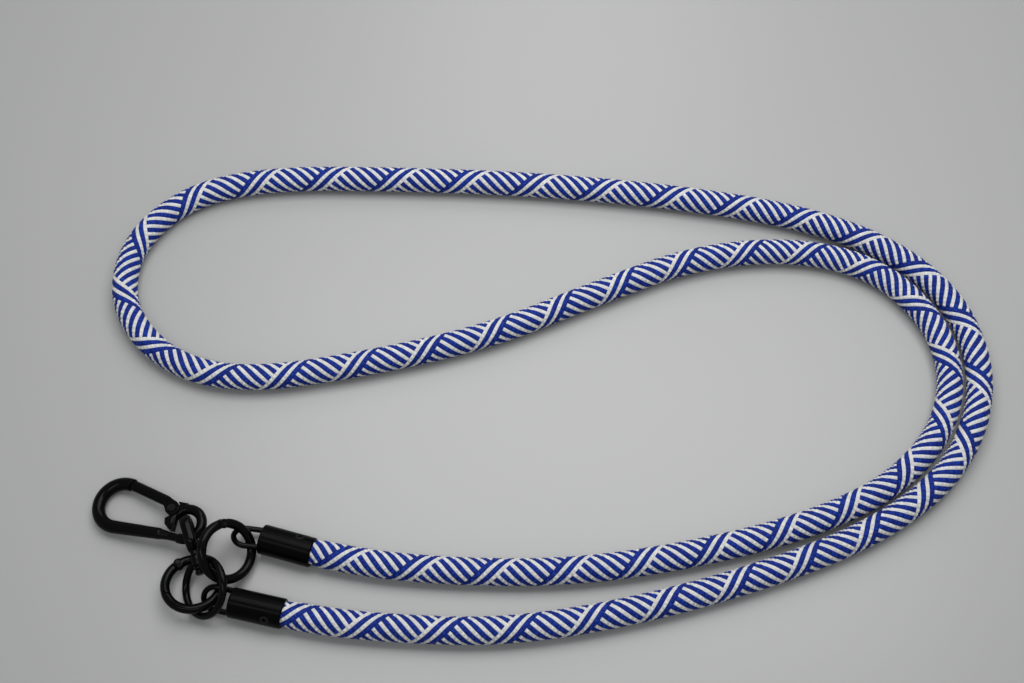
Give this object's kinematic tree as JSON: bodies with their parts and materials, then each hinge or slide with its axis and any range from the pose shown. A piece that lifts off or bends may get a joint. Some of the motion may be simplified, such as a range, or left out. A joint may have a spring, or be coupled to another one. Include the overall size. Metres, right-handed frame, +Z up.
{
  "type": "saxophone neck strap",
  "caption": "Round braided rope strap with a black metal cap and wire eye at each end, joined by two spring-gate rings to a swivel snap hook.",
  "frame": {"origin": "on the surface that the strap lies on, under the middle of the metal fittings", "axes": "+Z up from the surface; the rope runs away from the fittings along +X and loops round on the +Y side"},
  "size_m": [0.3463, 0.201, 0.0188],
  "materials": {
    "braid": "braided polyester, royal blue and off-white",
    "filler_yarn": "straight filler yarns",
    "black_paint": "satin black enamel",
    "black_steel": "blackened steel",
    "spring_steel": "bare spring steel"
  },
  "bodies": {
    "strap": {"rope_sleeve": "braid", "rope_core": "filler_yarn", "end_cap_a": "black_paint", "end_cap_b": "black_paint", "cap_screw_a": "black_steel", "cap_screw_b": "black_steel", "wire_eye_a": "black_paint", "wire_eye_b": "black_paint"},
    "ring_a": {"ring_a_frame": "black_paint", "ring_a_pin": "black_steel", "ring_a_spring": "spring_steel", "ring_a_plunger": "spring_steel"},
    "ring_a_gate": {"ring_a_gate": "black_paint"},
    "ring_b": {"ring_b_frame": "black_paint", "ring_b_pin": "black_steel", "ring_b_spring": "spring_steel", "ring_b_plunger": "spring_steel"},
    "ring_b_gate": {"ring_b_gate": "black_paint"},
    "swivel_ring": {"swivel_ring": "black_paint"},
    "swivel": {"swivel_loop": "black_paint", "swivel_washer": "black_steel"},
    "hook": {"hook_body": "black_paint", "hook_pin": "black_steel"},
    "hook_gate": {"hook_gate": "black_paint", "hook_plunger": "spring_steel", "hook_spring": "spring_steel"}
  },
  "joints": [
    {"name": "ring_b_swing", "type": "hinge", "parent": "strap", "child": "ring_b", "pos_m": [0.01728, 0.00464, 0.00643], "axis": [0.4136, 0.9101, 0.0266], "range_deg": [-8, 3]},
    {"name": "ring_a_swing", "type": "hinge", "parent": "strap", "child": "ring_a", "pos_m": [0.01728, 0.00464, 0.00643], "axis": [0.4136, 0.9101, 0.0266], "range_deg": [-8, 3]},
    {"name": "swivel_ring_swing", "type": "hinge", "parent": "ring_b", "child": "swivel_ring", "pos_m": [0.00604, -0.01089, 0.01158], "axis": [0.1871, 0.8793, 0.4379], "range_deg": [-6, 2]},
    {"name": "swivel_spin", "type": "hinge", "parent": "swivel_ring", "child": "swivel", "pos_m": [-0.00028, -0.00499, 0.00835], "axis": [-0.3419, 0.9394, 0.0261], "continuous": true},
    {"name": "hook_swing", "type": "hinge", "parent": "swivel", "child": "hook", "pos_m": [-0.00356, 0.00391, 0.00824], "axis": [0.9161, 0.3859, 0.1088], "range_deg": [-45, 60]},
    {"name": "ring_a_gate_hinge", "type": "hinge", "parent": "ring_a", "child": "ring_a_gate", "pos_m": [0.00886, 0.00718, 0.01433], "axis": [0.6339, -0.212, 0.7438], "range_deg": [0, 7], "stiffness_Nm_per_rad": 0.0015, "springref_deg": -28.65},
    {"name": "ring_b_gate_hinge", "type": "hinge", "parent": "ring_b", "child": "ring_b_gate", "pos_m": [-0.00789, -0.00476, 0.00391], "axis": [0.044, 0.1959, 0.9796], "range_deg": [0, 25], "stiffness_Nm_per_rad": 0.0015, "springref_deg": -28.65},
    {"name": "hook_gate_hinge", "type": "hinge", "parent": "hook", "child": "hook_gate", "pos_m": [-0.0113, 0.01541, 0.00665], "axis": [-0.1365, 0.0449, 0.9896], "range_deg": [0, 28], "stiffness_Nm_per_rad": 0.004, "springref_deg": -28.65}
  ],
  "couplings": [
    {"joint": "ring_a_swing", "follows": "ring_b_swing", "ratio": 1}
  ]
}
